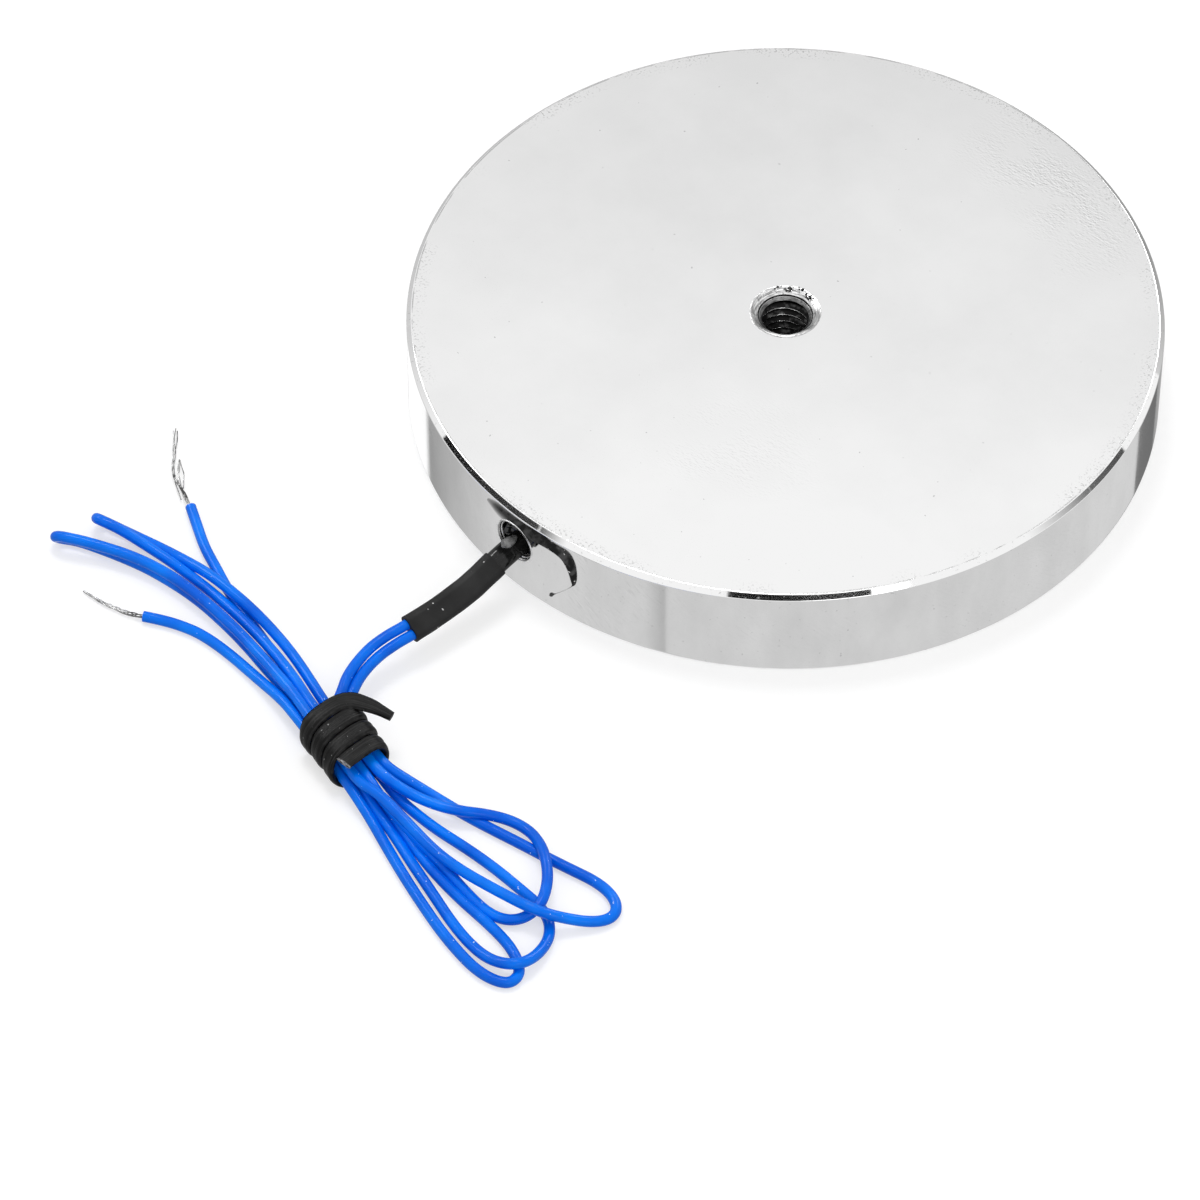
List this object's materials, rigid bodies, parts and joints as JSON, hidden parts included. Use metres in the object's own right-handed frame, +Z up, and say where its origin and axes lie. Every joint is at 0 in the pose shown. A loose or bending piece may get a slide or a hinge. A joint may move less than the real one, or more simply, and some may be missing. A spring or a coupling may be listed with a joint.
{
  "type": "lifting electromagnet",
  "caption": "Flat round lifting electromagnet: a plated steel pot with a flat pole face below, a tapped hole in its back to hang it by, and tied wire leads from its side.",
  "frame": {"origin": "centre of the pole face, which is the base of the magnet and lies on the floor", "axes": "+Z up along the axis of the pot, out of the tapped hole in its back; the leads come out of the side wall along -Y; +X to the right when looking along +Y"},
  "size_m": [0.1004, 0.1488, 0.014],
  "materials": {
    "plated_steel": "bright plating with faint streaks and pits",
    "former_plastic": "moulded black plastic",
    "winding_copper": "enamelled copper wire",
    "winding_tape": "yellow film tape",
    "black_resin": "set black resin",
    "blue_insulation": "glossy blue insulation",
    "splice_plastic": "shrunk black sleeve",
    "gloss_sleeve": "glossy black sleeve",
    "heat_shrink": "matt black heat-shrink",
    "grey_glue": "grey glue",
    "tinned_copper": "tinned strands",
    "tie_plastic": "black coated wire tie"
  },
  "bodies": {
    "root": {"pot_shell": "plated_steel", "coil_former": "former_plastic", "coil_winding": "winding_copper", "coil_tape": "winding_tape", "potting_resin": "black_resin", "lead_wire_1": "blue_insulation", "lead_wire_2": "blue_insulation", "splice_1": "splice_plastic", "splice_2": "splice_plastic", "winding_start_tail": "winding_copper", "winding_finish_tail": "winding_copper", "inner_sleeve": "gloss_sleeve", "outer_sleeve": "heat_shrink", "cable_sealant": "black_resin", "glue_drop": "grey_glue", "wire_hank": "blue_insulation", "free_end_1": "blue_insulation", "free_end_2": "blue_insulation", "bare_end_1": "tinned_copper", "bare_end_2": "tinned_copper", "wire_tie": "tie_plastic"}
  },
  "joints": []
}
